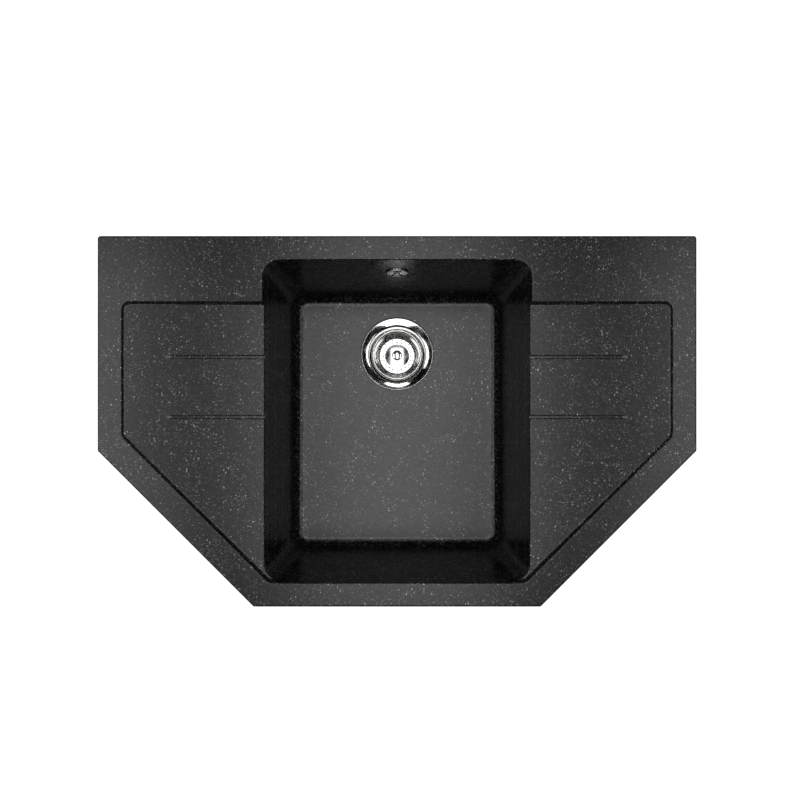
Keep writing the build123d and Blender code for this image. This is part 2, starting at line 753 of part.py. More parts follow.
# ---- fixing clips ----------------------------------------------------------------------------------------
boss_foot = rim_underside - clip_boss_height
clip_tip_z = boss_foot + clip_screw_grip
clip_head_z = clip_tip_z - clip_screw_length


def clip_sockets():
    """The plastic sockets in the bosses' holes."""
    socket = Cylinder(clip_hole_radius, clip_hole_depth, align=STANDING)
    socket += Cylinder(socket_flange_radius, socket_flange_height, align=HANGING)
    socket -= Cylinder(clip_screw_radius + clip_screw_running_gap, 4 * clip_hole_depth)
    return Compound([Pos(x, y, boss_foot) * socket for x, y, _ in clip_spots()])


def clip_screw(x, y):
    screw = Cylinder(clip_screw_radius, clip_screw_length, align=STANDING)
    screw = chamfer(screw.edges().group_by(Axis.Z)[-1], clip_screw_radius / 2)
    screw += Cylinder(clip_screw_head_radius, clip_screw_head_height, align=HANGING)
    slot_size = clip_screw_head_height / 3
    slot = Box(3 * clip_screw_head_radius, slot_size, slot_size, align=STANDING)
    screw -= Pos(0, 0, -clip_screw_head_height) * slot
    return Pos(x, y, clip_head_z) * screw


def clip_claw(x, y, parked):
    """The steel strip that turns on its screw and bears on the worktop's underside, parked along the rim."""
    low = seat_gap + claw_sheet / 2
    line = FilletPolyline(
        (-claw_heel, low),
        (claw_reach - claw_lean, low),
        (claw_reach, low + claw_rise),
        radius=claw_bend_radius,
    )
    claw = extrude(Plane.XZ * trace(line, claw_sheet), amount=claw_width / 2, both=True)
    claw -= Cylinder(clip_screw_radius + claw_hole_gap, 4 * claw_rise)
    return Pos(x, y, clip_head_z) * Rot(0, 0, parked) * claw


# ---- every piece by its name -----------------------------------------------------------------------------
def all_parts():
    upper_nut, lower_nut = hose_nuts()
    parts = {
        "sink_body": sink_body(),
        "rim_seal": rim_seal(),
        "waste_cup": waste_cup(),
        "flange_seal": flange_seal(),
        "under_seal": under_seal(),
        "waste_housing": waste_housing(),
        "waste_screw": waste_screw(),
        "strainer_basket": strainer_basket(),
        "basket_knob": basket_knob(),
        "basket_post": basket_post(),
        "basket_stopper": basket_stopper(),
        "overflow_cover": overflow_cover(),
        "overflow_screw": overflow_screw(),
        "overflow_seal": overflow_seal(),
        "overflow_elbow": overflow_elbow(),
        "overflow_hose": overflow_hose(),
        "upper_hose_nut": upper_nut,
        "lower_hose_nut": lower_nut,
        "clip_sockets": clip_sockets(),
    }
    for number, (x, y, parked) in enumerate(clip_spots(), start=1):
        parts[f"clip_{number}_screw"] = clip_screw(x, y)
        parts[f"clip_{number}_claw"] = clip_claw(x, y, parked)
        print("clip", number, "at", round(x, 3), round(y, 3), "parked along", parked)
    return parts


os.makedirs("parts", exist_ok=True)
for name, shape in all_parts().items():
    export_step(shape, f"parts/{name}.step")
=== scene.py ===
import math

import bmesh
import bpy
import numpy as np
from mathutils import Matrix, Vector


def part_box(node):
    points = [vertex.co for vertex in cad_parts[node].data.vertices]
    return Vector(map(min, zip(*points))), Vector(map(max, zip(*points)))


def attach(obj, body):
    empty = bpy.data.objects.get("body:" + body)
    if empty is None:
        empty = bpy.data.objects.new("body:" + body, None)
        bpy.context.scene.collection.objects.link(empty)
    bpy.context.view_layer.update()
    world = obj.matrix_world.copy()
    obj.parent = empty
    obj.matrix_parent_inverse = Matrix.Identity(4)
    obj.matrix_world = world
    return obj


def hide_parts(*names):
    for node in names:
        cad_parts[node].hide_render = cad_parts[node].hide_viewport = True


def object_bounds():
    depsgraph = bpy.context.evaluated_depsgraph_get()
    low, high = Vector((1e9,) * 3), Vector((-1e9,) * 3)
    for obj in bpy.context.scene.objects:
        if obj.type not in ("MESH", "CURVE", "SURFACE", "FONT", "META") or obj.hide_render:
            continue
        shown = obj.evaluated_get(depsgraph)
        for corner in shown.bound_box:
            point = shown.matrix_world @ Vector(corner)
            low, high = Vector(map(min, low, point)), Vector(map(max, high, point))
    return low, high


# The looks of the corner sink: composite stone with fine pale flecks, a polished waste with its basket, the
# overflow, the white plastic fittings and the zinc-plated clips. Shapes are worked out in millimetres in the
# sink's own frame, +X along the back edge, +Y to the back edge, +Z up out of the worktop, and are made into
# meshes in metres.
MM = 0.001

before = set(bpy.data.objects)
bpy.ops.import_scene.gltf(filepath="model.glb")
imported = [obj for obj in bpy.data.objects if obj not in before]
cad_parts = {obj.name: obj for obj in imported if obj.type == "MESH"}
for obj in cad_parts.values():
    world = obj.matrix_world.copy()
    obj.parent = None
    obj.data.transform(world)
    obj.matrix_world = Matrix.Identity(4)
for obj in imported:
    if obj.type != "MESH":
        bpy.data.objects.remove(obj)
cad_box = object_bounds()
clip_numbers = range(1, 9)

# ---- sizes of the waste, in millimetres ------------------------------------------------------------------
waste_y = (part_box("waste_cup")[0].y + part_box("waste_cup")[1].y) / 2 / MM
floor_z = -180.0  # the bowl's floor at the waste
round_sides = 240  # steps round the waste, so that every hole's borders fall on one
cup_sheet = 1.0
cup_bend = 3.0
cup_throat_radius = 46.0
cup_wall_radius = 40.5
cup_wall_top = floor_z - 8.5
cup_floor = floor_z - 42.0
cup_bore = 3.1
flange_radius = 56.5
flange_edge = -179.78  # middle of the sheet at the flange's edge
flange_slope = math.tan(math.radians(13.5))
port_ring = 14.5
port_radius = 5.5
port_edge = 0.2
port_count = 6
port_belt = (8.0, 21.5)

# ---- sizes of the basket ---------------------------------------------------------------------------------
basket_sheet = 0.8
basket_bend = 1.6
basket_floor = cup_floor + cup_sheet / 2 + 7.6
basket_corner_radius = 29.0
rim_roll = 0.9  # middle of the rolled sheet
rim_centre = (38.2, floor_z - 9.0)
rim_roll_end = -75.0  # degrees, where the roll stops under the rim
wall_holes = 20
wall_hole_radius = 1.9
wall_hole_edge = 0.38
wall_hole_turn = 9.0  # degrees, from +X to the first hole in the wall
floor_hole_radius = 1.1
floor_hole_edge = 0.12
floor_belts = ((24.62, 27.82, 26.6, 24), (20.6, 24.62, 22.6, 20))  # inner, outer, holes' ring, count
dome_radius = 20.0
dome_rise = 1.6
dome_curve = (dome_radius ** 2 + dome_rise ** 2) / (2 * dome_rise)
dome_bore = 2.8
dome_top = basket_floor + dome_rise

# ---- sizes of the knob -----------------------------------------------------------------------------------
knob_radius = 8.2
knob_neck_radius = 4.2
knob_foot_radius = 5.2
knob_height = 17.0
knob_cap_height = 5.0
knob_crown = 24.0
knob_crown_inset = 2.5  # from the cap's side to where the crown takes over
knob_flare = 2.1  # height of the flare at each end of the neck
knob_bends = (0.3, 1.5, 2.5, 0.6, 1.2)
knob_bore = 2.55
knob_bore_end = 0.3  # above the cap's underside
knob_sides = 120

# ---- threads: pitch, depth, start, end, axis and core ----------------------------------------------------
outlet_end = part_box("waste_housing")[0].z / MM
outlet_thread = (2.309, 1.4, outlet_end + 1.0, outlet_end + 19.0, (0.0, waste_y), 23.0)
clip_pitch = 0.8
clip_thread_depth = 0.35
clip_core = 1.0
clip_head = 3.0
clip_boxes = {number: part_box(f"clip_{number}_screw") for number in clip_numbers}

# ---- sizes of the overflow's hose ------------------------------------------------------------------------
hose_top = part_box("overflow_hose")[1].z / MM
hose_level = -212.0
hose_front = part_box("overflow_hose")[0].y / MM
hose_bend = 36.0
hose_bore = 7.2
hose_groove = 8.4
hose_crest = 10.0
hose_neck = 8.8
hose_neck_length = 20.0
hose_flange = 2.0
hose_ribs = 35
hose_steps_per_rib = 10
hose_sides = 56
hose_wave = 0.8  # above 0.5, so that crests and grooves are flat
hose_edge = 0.4
hose_neck_step = 0.6
hose_bore_points = 60
hose_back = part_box("overflow_hose")[1].y / MM - hose_crest

# ---- meshes: edges ---------------------------------------------------------------------------------------
sharp_edge = 50  # degrees between faces
bevel_angle = 35  # degrees between faces from which an edge is broken
bevel_segments = 2
bevel_weld = 0.001

# ---- stone: sizes, tones and shares ----------------------------------------------------------------------
cluster_size = 28.0  # of the drifts in which the grains and flecks gather
cluster_band = (0.38, 0.60)  # noise values where a cluster starts and where it is full
sparse_share = 0.40  # of the grains and flecks that is left outside the clusters
fine_grains = (1.6, 0.40, 0.80)  # cell, share of the cells that hold one, radius
pale_flecks = (3.2, 0.30, 1.10)
grain_onset = 0.06  # rise of the chance over which a grain comes in
grain_core = 0.45  # share of a grain's radius that is fully bright
grain_least = 0.25  # brightness of the dullest grain
fine_strength = 0.40
fleck_strength = 0.95
binder_tones = (0.0012, 0.0030)
flake_tone = 0.42

# ---- studio ----------------------------------------------------------------------------------------------
photo_width = 800
camera_height = 870.0
photo_focal_pixels = 661.8
photo_axis = (397.1, 421.3)  # where the camera's axis meets the photograph
sensor_width = 36.0
floor_gap = 0.5
floor_side = 60000.0
floor_tones = (0.48, 0.50)
floor_drift = 900.0
floor_glow = 0.35
floor_glow_seen = 0.41  # added where the floor is seen, directly, through or in a reflection
strip_height = 5000.0
strip_reach = (-0.38, 0.36)  # slopes, along over up, from the front end to the back end
strip_spans = ((-0.70, -0.425), (-0.176, 0.176), (0.455, 0.70))  # slopes, across over up
strip_radiance = 3.15
low_lamp = (0.0, 835.0, 1200.0)  # seen in the near side of the waste's flange alone
low_lamp_size = (420.0, 170.0)
world_fill = 0.50
horizon_glow = 0.75
horizon_top = 0.30


# ---- meshes ----------------------------------------------------------------------------------------------
def bent_line(corners, bends, steps=8):
    """A line through (radius, height) corners, rounded at the inner ones, with its left-hand normals.

    Each arc starts the bend times the tangent of half its turn before the corner. Its points lie the bend away
    from its centre, along the start's direction from there, turned by growing shares of the whole turn.
    """
    corners = np.asarray(corners, float)
    bends = np.broadcast_to(np.asarray(bends, float), len(corners) - 2)
    runs = np.diff(corners, axis=0)
    runs /= np.linalg.norm(runs, axis=1)[:, None]
    sides = np.stack([-runs[:, 1], runs[:, 0]], axis=1)
    line, across = [corners[:1]], [sides[:1]]
    for corner, before, after, side, bend in zip(corners[1:-1], runs[:-1], runs[1:], sides[:-1], bends):
        turn = math.atan2(before[0] * after[1] - before[1] * after[0], before @ after)
        left = math.copysign(1.0, turn)
        start = corner - before * bend * math.tan(abs(turn) / 2)
        centre = start + left * bend * side
        share = np.linspace(0, 1, steps + 1)[:, None]
        out = -left * (side * np.cos(share * turn) - before * np.sin(share * turn))
        line.append(centre + bend * out)
        across.append(-left * out)
    line.append(corners[-1:])
    across.append(sides[-1:])
    return np.concatenate(line), np.concatenate(across)


def turned(section, middle=(0.0, waste_y), sides=round_sides):
    """A (radius, height) section carried round an upright axis: radius times cosine and sine, same height."""
    angle = np.linspace(0, 2 * np.pi, sides + 1)
    radius, height = np.asarray(section, float).T
    x = middle[0] + np.outer(radius, np.cos(angle))
    y = middle[1] + np.outer(radius, np.sin(angle))
    return np.stack([x, y, np.repeat(height[:, None], sides + 1, axis=1)], axis=-1)


def sheet_band(line, across, sheet, **place):
    """Both faces of a turned sheet: its middle line moved half the sheet to each side."""
    return [turned(line + side * sheet / 2 * across, **place) for side in (1, -1)]


def sheet_end(spot, along, sheet, steps=6, **place):
    """The half-round edge of a turned sheet: a half circle about the end of its middle line."""
    along = np.asarray(along, float) / np.linalg.norm(along)
    across = np.array([-along[1], along[0]])
    angle = np.linspace(-np.pi / 2, np.pi / 2, 2 * steps + 1)[:, None]
    return turned(spot + sheet / 2 * (np.sin(angle) * across + np.cos(angle) * along), **place)


def pierced_belt(start, end, sheet, count, hole_at, hole_radius, hole_edge, first=0.0, middle=(0.0, waste_y)):
    """A straight stretch of a turned sheet with a ring of round holes, whose edges are rounded.

    Each hole has its own cell, from one parallel to the next and halfway to its neighbours. Rays run from the
    hole's centre to the cell's border. Along a ray the surface starts on the border on one face, comes in to
    the hole, goes round its edge on a quarter circle to the bore, and out again on the other face.
    """
    start, end = np.asarray(start, float), np.asarray(end, float)
    length = np.linalg.norm(end - start)
    along = (end - start) / length
    across = np.array([-along[1], along[0]])
    ring = (start + along * hole_at)[0]
    steps = round_sides // count
    side_steps = 6
    half_cell = np.pi / count
    # the cell's border, as (angle from the hole, distance along the stretch)
    sweep = np.linspace(-half_cell, half_cell, steps + 1)
    rise = np.linspace(0, length, side_steps + 1)
    border = np.concatenate([
        np.stack([sweep, np.zeros(steps + 1)], axis=1)[:-1],
        np.stack([np.full(side_steps + 1, half_cell), rise], axis=1)[:-1],
        np.stack([sweep[::-1], np.full(steps + 1, length)], axis=1)[:-1],
        np.stack([np.full(side_steps + 1, -half_cell), rise[::-1]], axis=1),
    ])
    ray = np.stack([border[:, 0] * ring, border[:, 1] - hole_at], axis=1)
    reach = np.linalg.norm(ray, axis=1)
    ray /= reach[:, None]
    # one face, the rounded edge and the other face, as (distance from the hole's centre, border share, offset)
    quarter = np.linspace(0, np.pi / 2, 4)
    near = hole_radius + hole_edge * (1 - np.sin(quarter))
    depth = sheet / 2 - hole_edge * (1 - np.cos(quarter))
    out_share = np.array([1.0, 0.5])
    rows = []
    for face in (1, -1):
        open_face = [(None, share, face * sheet / 2) for share in out_share]
        edge = [(r, 0.0, face * d) for r, d in zip(near, depth)]
        rows += (open_face + edge)[::face]
    grid = []
    for distance, share, offset in rows:
        from_hole = distance if distance is not None else near[0] + share * (reach - near[0])
        spot = ray * np.reshape(from_hole, (-1, 1))
        angle = spot[:, 0] / ring
        place = start + (spot[:, 1:] + hole_at) * along + offset * across
        if share == 1.0:
            angle = border[:, 0]
            place = start + border[:, 1:] * along + offset * across
        grid.append(np.stack([angle, place[:, 0], place[:, 1]], axis=1))
    grid = np.stack(grid)
    patches = []
    for number in range(count):
        angle = grid[..., 0] + math.radians(first) + 2 * np.pi * number / count
        x = middle[0] + grid[..., 1] * np.cos(angle)
        y = middle[1] + grid[..., 1] * np.sin(angle)
        patches.append(np.stack([x, y, grid[..., 2]], axis=-1))
    return patches


def make_piece(name, patches, finish, body, slot, *nodes, weld=0.002, sharp=None):
    """A piece from grids of points in millimetres: neighbours form quads, and points that meet become one."""
    points, faces, start = [], [], 0
    for grid in patches:
        rows, columns = grid.shape[:2]
        corner = start + np.arange(rows * columns).reshape(rows, columns)
        quads = np.stack([corner[:-1, :-1], corner[:-1, 1:], corner[1:, 1:], corner[1:, :-1]], axis=-1)
        points.append(grid.reshape(-1, 3) * MM)
        faces.append(quads.reshape(-1, 4))
        start += rows * columns
    mesh = bpy.data.meshes.new(name)
    mesh.from_pydata(np.concatenate(points).tolist(), [], np.concatenate(faces).tolist())
    shell = bmesh.new()
    shell.from_mesh(mesh)
    bmesh.ops.remove_doubles(shell, verts=shell.verts, dist=weld * MM)
    bmesh.ops.dissolve_degenerate(shell, edges=shell.edges, dist=weld * MM / 4)
    bmesh.ops.recalc_face_normals(shell, faces=shell.faces)
    shell.to_mesh(mesh)
    shell.free()
    mesh.shade_smooth()
    if sharp is not None:
        mesh.set_sharp_from_angle(angle=math.radians(sharp))
    mesh.materials.append(finish)
    thing = bpy.data.objects.new(name, mesh)
    bpy.context.scene.collection.objects.link(thing)
    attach(thing, body)
    if nodes:
        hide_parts(*nodes)


def dress(node, finish, bevel=0.0):
    """Gives a node its finish and, where bevel is set, softly broken edges of that width in millimetres."""
    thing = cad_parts[node]
    thing.data.materials.clear()
    thing.data.materials.append(finish)
    if bevel:
        weld = thing.modifiers.new("weld", "WELD")
        weld.merge_threshold = bevel_weld * MM
        edge = thing.modifiers.new("edge", "BEVEL")
        edge.width = bevel * MM
        edge.segments = bevel_segments
        edge.limit_method = "ANGLE"
        edge.angle_limit = math.radians(bevel_angle)
        edge.harden_normals = True


# ---- finishes --------------------------------------------------------------------------------------------
class Wire:
    """A shader node's output. Sums, products and quotients of wires and numbers add the Math nodes for them."""

    def __init__(self, finish, socket):
        self.finish, self.socket = finish, socket

    def maths(self, operation, *values):
        return self.finish.add("ShaderNodeMath", {"operation": operation}, dict(enumerate(values)))

    def __add__(self, other):
        return self.maths("ADD", self, other)

    def __sub__(self, other):
        return self.maths("SUBTRACT", self, other)

    def __rsub__(self, other):
        return self.maths("SUBTRACT", other, self)

    def __mul__(self, other):
        return self.maths("MULTIPLY", self, other)

    def __truediv__(self, other):
        return self.maths("DIVIDE", self, other)

    __radd__ = __add__
    __rmul__ = __mul__

    def stepped(self, low, high, to_low=0.0, to_high=1.0):
        """A smooth step: to_low where this is at low, to_high where it is at high, eased between them."""
        return self.finish.add(
            "ShaderNodeMapRange", {"interpolation_type": "SMOOTHSTEP"},
            {"Value": self, "From Min": low, "From Max": high, "To Min": to_low, "To Max": to_high})


class Finish:
    """A material's node tree. Its add method is the one that makes nodes."""

    def __init__(self, name=None, tree=None):
        if tree is None:
            self.material = bpy.data.materials.new(name)
            self.material.use_nodes = True
            tree = self.material.node_tree
        self.tree = tree
        self.tree.nodes.clear()

    def add(self, kind, settings=None, inputs=None, out=0):
        node = self.tree.nodes.new(kind)
        for setting, value in (settings or {}).items():
            setattr(node, setting, value)
        for socket, value in (inputs or {}).items():
            if isinstance(value, Wire):
                self.tree.links.new(value.socket, node.inputs[socket])
            else:
                node.inputs[socket].default_value = value
        return Wire(self, node.outputs[out]) if node.outputs else node

    def place(self):
        return self.add("ShaderNodeTexCoord", out="Object")

    def noise(self, at, size, detail=2.0, roughness=0.5):
        """Cloudy noise whose lumps are about that many millimetres."""
        return self.add("ShaderNodeTexNoise", None, {
            "Vector": at, "Scale": 1 / (size * MM), "Detail": detail, "Roughness": roughness}, "Fac")

    def cells(self, at, size, *outs):
        """Outputs of a pattern of cells that are about that many millimetres, each round a point of its own."""
        cell = {"Vector": at, "Scale": 1 / (size * MM), "Randomness": 1.0}
        return [self.add("ShaderNodeTexVoronoi", {"feature": "F1"}, cell, out) for out in outs]

    def channel(self, colour, number):
        return self.add("ShaderNodeSeparateColor", None, {"Color": colour}, number)

    def mix(self, share, first, second):
        return self.add("ShaderNodeMix", {"data_type": "RGBA"}, {"Factor": share, 6: first, 7: second}, 2)

    def bump(self, height, depth, strength=1.0, under=None):
        """A bump whose height of 1 stands that many millimetres proud, laid over the bump under it."""
        below = {} if under is None else {"Normal": under}
        return self.add("ShaderNodeBump", None,
                        {"Height": height, "Distance": depth * MM, "Strength": strength, **below})

    def thread(self, at, screw, under):
        """A screw thread as a bump: a triangle wave of the height in pitches plus the turns about the axis.

        The screw gives its pitch, its thread's depth, the heights where the thread starts and ends, its upright
        axis and the radius inside which no thread shows.
        """
        pitch, depth, low, high, (axis_x, axis_y), core = screw
        x, y, z = (self.add("ShaderNodeSeparateXYZ", None, {"Vector": at}, side) for side in "XYZ")
        x, y = x - axis_x * MM, y - axis_y * MM
        turns = z.maths("ARCTAN2", y, x) / (2 * math.pi)
        outside = (x * x + y * y).stepped((core * 0.97 * MM) ** 2, (core * MM) ** 2)
        ridge = z.maths("PINGPONG", z / (pitch * MM) + turns, 0.5) * 2
        start = z.stepped((low - pitch / 4) * MM, (low + pitch / 4) * MM)
        end = z.stepped((high + pitch / 4) * MM, (high - pitch / 4) * MM)
        return self.bump(ridge * start * end * outside, depth, 1.0, under)

    def ray_kinds(self):
        """1 for a camera ray, for a glossy ray and for a transmission ray, and 0 for the other rays."""
        return [self.add("ShaderNodeLightPath", out=f"Is {kind} Ray")
                for kind in ("Camera", "Glossy", "Transmission")]

    def surface(self, **inputs):
        shader = self.add("ShaderNodeBsdfPrincipled", None,
                          {name.replace("_", " "): value for name, value in inputs.items()})
        self.add("ShaderNodeOutputMaterial", None, {"Surface": shader})
        return self.material


def grey(level, warmth=0.0):
    return (level * (1 + warmth), level, level * (1 - warmth), 1.0)


def composite_stone():
    """Black acrylic stone: a clouded near-black binder with fine grains and sparse pale flecks in clusters."""
    stone = Finish("composite_stone")
    at = stone.place()

    def grains(size, share, radius):
        """Cells of that size in millimetres, a share of which hold one grain of up to that radius."""
        distance, colour = stone.cells(at, size, "Distance", "Color")
        held = stone.channel(colour, 0).stepped(1 - share, 1 - share + grain_onset) * clusters
        tone = stone.channel(colour, 1) * (1 - grain_least) + grain_least
        return distance.stepped(radius / size, radius / size * grain_core) * held * tone

    clusters = stone.noise(at, cluster_size).stepped(*cluster_band, sparse_share, 1.0)
    flakes = grains(*fine_grains) * fine_strength + grains(*pale_flecks) * fleck_strength
    binder = stone.mix(stone.noise(at, 6.0, 4.0, 0.6), *map(grey, binder_tones))
    return stone.surface(
        Base_Color=stone.mix(flakes, binder, grey(flake_tone, 0.01)),
        Metallic=flakes,
        Roughness=stone.noise(at, 9.0, 3.0) * 0.06 + 0.24 + flakes * 0.08,
        Normal=stone.bump(stone.noise(at, 0.55, 2.0, 0.6), 0.03, 0.40),
        IOR=1.5)


def polished_steel(name, tone, low, high, rougher=0.0):
    """Stainless steel: its roughness drifts between low and high, and its surface has a very fine grain."""
    steel = Finish(name)
    at = steel.place()
    smear = steel.noise(at, 14.0)
    grain = steel.noise(at, 1.2)
    return steel.surface(
        Base_Color=steel.mix(smear, grey(tone * 0.95, 0.01), grey(tone, 0.01)),
        Metallic=1.0,
        Roughness=smear.stepped(0.3, 0.7, low, high) + grain * rougher,
        Normal=steel.bump(grain, 0.002, 0.10))


def moulded(name, dark, light, rough, grain=0.02, size=0.8, screw=None):
    """Moulded plastic or rubber: a slightly clouded colour, a fine eggshell texture and any screw thread."""
    skin = Finish(name)
    at = skin.place()
    cloud = skin.noise(at, 12.0, 3.0)
    texture = skin.bump(skin.noise(at, size), grain, 0.5)
    return skin.surface(
        Base_Color=skin.mix(cloud, dark, light),
        Roughness=cloud * 0.12 + rough,
        Normal=skin.thread(at, screw, texture) if screw else texture)


def zinc_plate(name, screw=None):
    """Bright zinc: pale blue-grey crystals, duller in the hollows of the plating, over any screw thread."""
    zinc = Finish(name)
    at = zinc.place()
    facet = zinc.channel(zinc.cells(at, 1.6, "Color")[0], 0)
    cloud = zinc.noise(at, 5.0, 3.0)
    skin = zinc.bump(zinc.noise(at, 0.4), 0.01, 0.3)
    return zinc.surface(
        Base_Color=zinc.mix(facet * 0.5 + cloud * 0.5, (0.52, 0.54, 0.57, 1), (0.66, 0.67, 0.68, 1)),
        Metallic=1.0,
        Roughness=facet * 0.12 + 0.26,
        Normal=zinc.thread(at, screw, skin) if screw else skin)


stone_finish = composite_stone()
bright_steel = polished_steel("polished_steel", 0.72, 0.06, 0.12)
basket_steel = polished_steel("basket_steel", 0.70, 0.08, 0.16, 0.03)
knob_steel = polished_steel("knob_steel", 0.72, 0.05, 0.10)
plain_steel = polished_steel("plain_steel", 0.60, 0.20, 0.30, 0.05)
claw_finish = zinc_plate("zinc_plate")
rubber_finish = moulded("black_rubber", grey(0.012), grey(0.020), 0.55)
foam_finish = moulded("grey_foam", grey(0.09), grey(0.13), 0.80, 0.12, 0.9)
white_finish = moulded("white_plastic", grey(0.74, 0.01), grey(0.80, 0.01), 0.30)
outlet_finish = moulded("outlet_plastic", grey(0.74, 0.01), grey(0.80, 0.01), 0.30, screw=outlet_thread)
hose_finish = moulded("hose_plastic", grey(0.66, 0.02), grey(0.72, 0.02), 0.36)
socket_finish = moulded("socket_plastic", grey(0.035), grey(0.050), 0.40)


# ---- waste -----------------------------------------------------------------------------------------------
def flange_height(radius):
    """Middle of the flange's sheet, which slopes down from its edge to the throat."""
    return flange_edge - (flange_radius - radius) * flange_slope


def waste_cup():
    """The pressed cup: rounded flange edge, sloping flange, throat, wall and a floor with a ring of ports."""
    edge = (flange_radius - cup_sheet / 2, flange_height(flange_radius - cup_sheet / 2))
    throat = (cup_throat_radius, flange_height(cup_throat_radius))
    start, end = (port_belt[1], cup_floor), (port_belt[0], cup_floor)
    line, across = bent_line([
        edge, throat, (cup_wall_radius, cup_wall_top), (cup_wall_radius, cup_floor), start,
    ], cup_bend)
    patches = sheet_band(line, across, cup_sheet)
    patches.append(sheet_end(edge, np.subtract(edge, throat), cup_sheet))
    patches += pierced_belt(start, end, cup_sheet, port_count, port_belt[1] - port_ring, port_radius, port_edge)
    bore_edge = (cup_bore + cup_sheet / 2, cup_floor)
    line, across = bent_line([end, ((end[0] + bore_edge[0]) / 2, cup_floor), bore_edge], 0.0, 1)
    patches += sheet_band(line, across, cup_sheet)
    patches.append(sheet_end(bore_edge, (-1, 0), cup_sheet))
    make_piece("pressed_cup", patches, bright_steel, "sink", "polished_steel", "waste_cup")


def strainer_basket():
    """The basket: a rolled rim, a leaning wall with holes, a bend, a pierced floor and a shallow dome."""
    centre = np.array(rim_centre)
    corner = np.array([basket_corner_radius, basket_floor])
    lean = math.atan2(centre[1] - corner[1], centre[0] - rim_roll - corner[0])
    # the rolled rim turns clockwise about its centre from where the wall runs into it
    angle = np.linspace(math.radians(rim_roll_end), math.pi / 2 + lean, 24)
    out = np.stack([np.cos(angle), np.sin(angle)], axis=1)
    roll, roll_across = centre + rim_roll * out, out
    wall = roll[-1] - corner
    wall_length = np.linalg.norm(wall)
    wall /= wall_length
    reach = basket_bend * math.tan(math.atan2(wall[1], wall[0]) / 2)
    row = (centre[1] - basket_floor) / 4 / wall[1]
    top, bottom = corner + wall * (2 * row - reach), corner + wall * reach
    across = np.array([wall[1], -wall[0]])
    patches = []
    for side in (1, -1):
        half = side * basket_sheet / 2
        patches.append(turned(roll + half * roll_across))
        patches.append(turned(np.linspace(roll[-1], top, 5) + half * -across))
    tip = roll[0]
    patches.append(sheet_end(tip, (out[0][1], -out[0][0]), basket_sheet))
    patches += pierced_belt(top, bottom, basket_sheet, wall_holes, np.linalg.norm(top - corner) - row,
                            wall_hole_radius, wall_hole_edge, wall_hole_turn)
    line, across = bent_line([bottom, corner, (floor_belts[0][1], basket_floor)], basket_bend)
    patches += sheet_band(line, across, basket_sheet)
    for inner, outer, ring, count in floor_belts:
        patches += pierced_belt((outer, basket_floor), (inner, basket_floor), basket_sheet, count,
                                outer - ring, floor_hole_radius, floor_hole_edge)
    radius = np.linspace(dome_radius, dome_bore + basket_sheet / 2, 16)
    drop = np.sqrt(dome_curve ** 2 - radius ** 2)
    dome = np.stack([radius, dome_top - dome_curve + drop], axis=1)
    normal = np.stack([radius, drop], axis=1) / dome_curve
    flat = np.array([[floor_belts[1][0], basket_floor]])
    line = np.concatenate([flat, dome])
    across = -np.concatenate([[[0.0, 1.0]], normal])
    patches += sheet_band(line, across, basket_sheet)
    patches.append(sheet_end(dome[-1], (-normal[-1][1], normal[-1][0]), basket_sheet))
    make_piece("rolled_basket", patches, basket_steel, "basket", "basket_steel", "strainer_basket")


def basket_knob():
    """The turned knob, bored for the post: a waisted neck, and a cap whose crown is an arc of a circle."""
    foot = dome_top + basket_sheet / 2
    top = foot + knob_height
    cap_low = top - knob_cap_height
    bore_top = cap_low + knob_bore_end

    def crown_at(radius):
        return np.stack([radius, top - knob_crown + np.sqrt(knob_crown ** 2 - radius ** 2)], axis=-1)

    side, _ = bent_line([
        (knob_bore, foot), (knob_foot_radius, foot), (knob_neck_radius, foot + knob_flare),
        (knob_neck_radius, cap_low - knob_flare), (knob_radius, cap_low),
        *crown_at(np.array([knob_radius, knob_radius - knob_crown_inset])),
    ], knob_bends)
    crown = crown_at(np.linspace(side[-1][0], 0, 12))
    bore = [(0, bore_top), (knob_bore, bore_top), (knob_bore, foot)]
    section = np.concatenate([bore, side[1:], crown[1:]])
    make_piece("turned_knob", [turned(section, sides=knob_sides)], knob_steel, "basket", "knob_steel",
               "basket_knob", sharp=sharp_edge)


# ---- overflow --------------------------------------------------------------------------------------------
def hose_line(place):
    """Middle of the hose and its turn, place millimetres along it: down, round one bend and in to the waste."""
    drop = hose_top - hose_level - hose_bend
    turn = np.clip((place - drop) / hose_bend, 0, np.pi / 2)
    rest = np.maximum(place - drop - hose_bend * np.pi / 2, 0)
    y = hose_back - hose_bend * (1 - np.cos(turn)) - rest
    z = hose_top - np.minimum(place, drop) - hose_bend * np.sin(turn)
    return np.stack([np.zeros_like(place), y, z], axis=1), turn


def along_hose(place, radius):
    """Circles of the given radii about the hose's middle, square to it."""
    middle, turn = hose_line(place)
    angle = np.linspace(0, 2 * np.pi, hose_sides + 1)
    side = np.array([1.0, 0.0, 0.0])
    out = np.stack([np.zeros_like(turn), np.cos(turn), np.sin(turn)], axis=1)
    ring = np.cos(angle)[None, :, None] * side + np.sin(angle)[None, :, None] * out[:, None, :]
    return middle[:, None, :] + np.reshape(radius, (-1, 1, 1)) * ring


